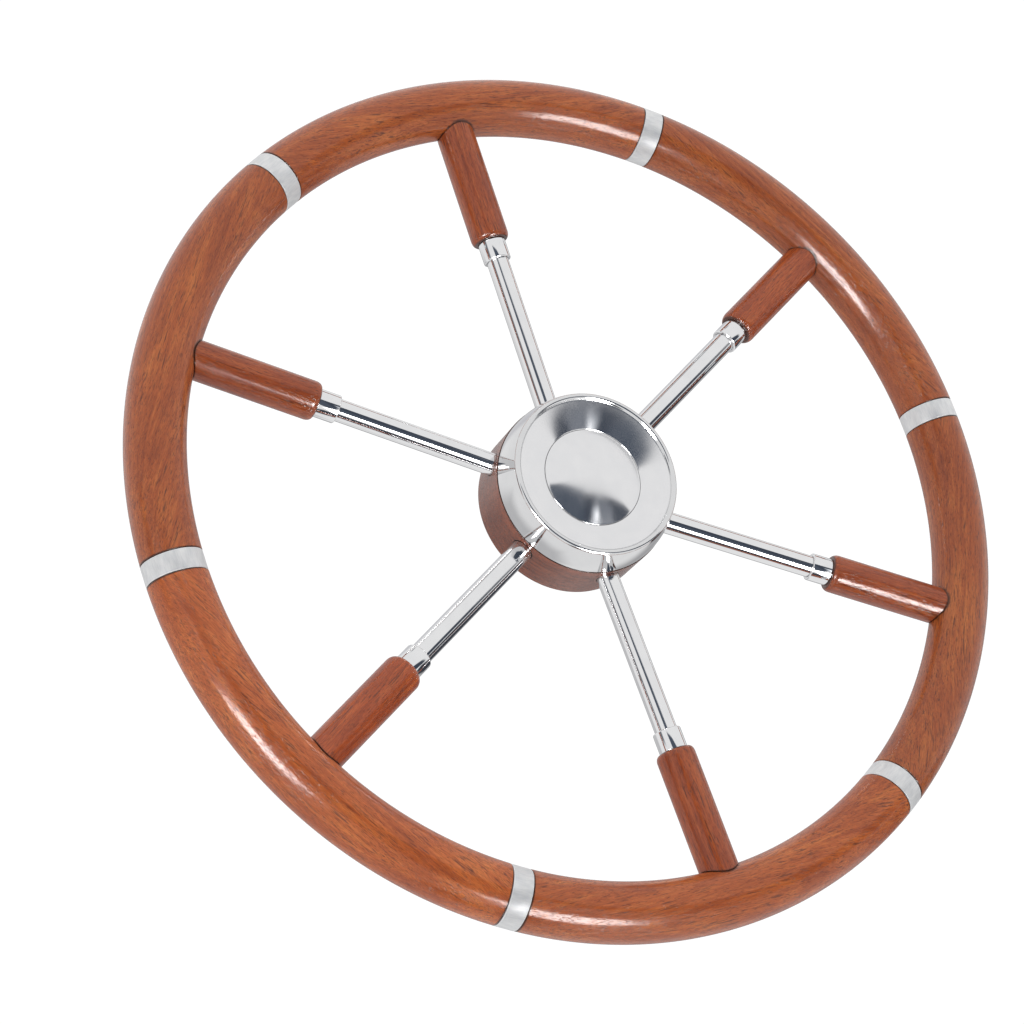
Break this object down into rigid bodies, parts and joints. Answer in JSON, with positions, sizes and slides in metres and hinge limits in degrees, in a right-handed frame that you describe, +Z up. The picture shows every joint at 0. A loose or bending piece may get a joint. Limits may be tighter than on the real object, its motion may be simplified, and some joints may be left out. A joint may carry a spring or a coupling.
{
  "type": "ship steering wheel",
  "caption": "Boat steering wheel: round wooden rim with metal joint bands, raked tubular spokes with wooden handles, dished metal hub with a pull-off domed cap.",
  "frame": {"origin": "centre of the hub's back face, on the helm shaft's axis", "axes": "+Y along the shaft away from the helmsman, +Z up along one spoke, +X to the right of a helmsman who faces the wheel"},
  "size_m": [0.61, 0.0597, 0.61],
  "materials": {
    "varnished_mahogany": "glossy marine varnish over reddish-brown mahogany",
    "polished_steel": "mirror-polished stainless steel",
    "satin_steel": "satin, brushed along the band",
    "machined_steel": "as machined",
    "dowel_wood": "plain, unvarnished",
    "seal_rubber": "matt black"
  },
  "bodies": {
    "wheel": {"rim_segment_1": "varnished_mahogany", "rim_segment_2": "varnished_mahogany", "rim_segment_3": "varnished_mahogany", "rim_segment_4": "varnished_mahogany", "rim_segment_5": "varnished_mahogany", "rim_segment_6": "varnished_mahogany", "rim_band_1": "satin_steel", "rim_band_2": "satin_steel", "rim_band_3": "satin_steel", "rim_band_4": "satin_steel", "rim_band_5": "satin_steel", "rim_band_6": "satin_steel", "rim_dowel_1": "dowel_wood", "rim_dowel_2": "dowel_wood", "rim_dowel_3": "dowel_wood", "rim_dowel_4": "dowel_wood", "rim_dowel_5": "dowel_wood", "rim_dowel_6": "dowel_wood", "spoke_tube_1": "polished_steel", "spoke_tube_2": "polished_steel", "spoke_tube_3": "polished_steel", "spoke_tube_4": "polished_steel", "spoke_tube_5": "polished_steel", "spoke_tube_6": "polished_steel", "spoke_rod_1": "machined_steel", "spoke_rod_2": "machined_steel", "spoke_rod_3": "machined_steel", "spoke_rod_4": "machined_steel", "spoke_rod_5": "machined_steel", "spoke_rod_6": "machined_steel", "spoke_ferrule_1": "polished_steel", "spoke_ferrule_2": "polished_steel", "spoke_ferrule_3": "polished_steel", "spoke_ferrule_4": "polished_steel", "spoke_ferrule_5": "polished_steel", "spoke_ferrule_6": "polished_steel", "spoke_handle_1": "varnished_mahogany", "spoke_handle_2": "varnished_mahogany", "spoke_handle_3": "varnished_mahogany", "spoke_handle_4": "varnished_mahogany", "spoke_handle_5": "varnished_mahogany", "spoke_handle_6": "varnished_mahogany", "hub_boss": "machined_steel", "hub_ring": "varnished_mahogany", "hub_shell": "polished_steel", "shell_flange": "machined_steel", "shell_screw_1": "machined_steel", "shell_screw_2": "machined_steel", "shell_screw_3": "machined_steel"},
    "cap": {"centre_cap": "polished_steel", "cap_seal": "seal_rubber"}
  },
  "joints": [
    {"name": "cap_lift", "type": "slide", "parent": "wheel", "child": "cap", "axis": [0, -1, 0], "range_m": [0, 0.02]}
  ]
}
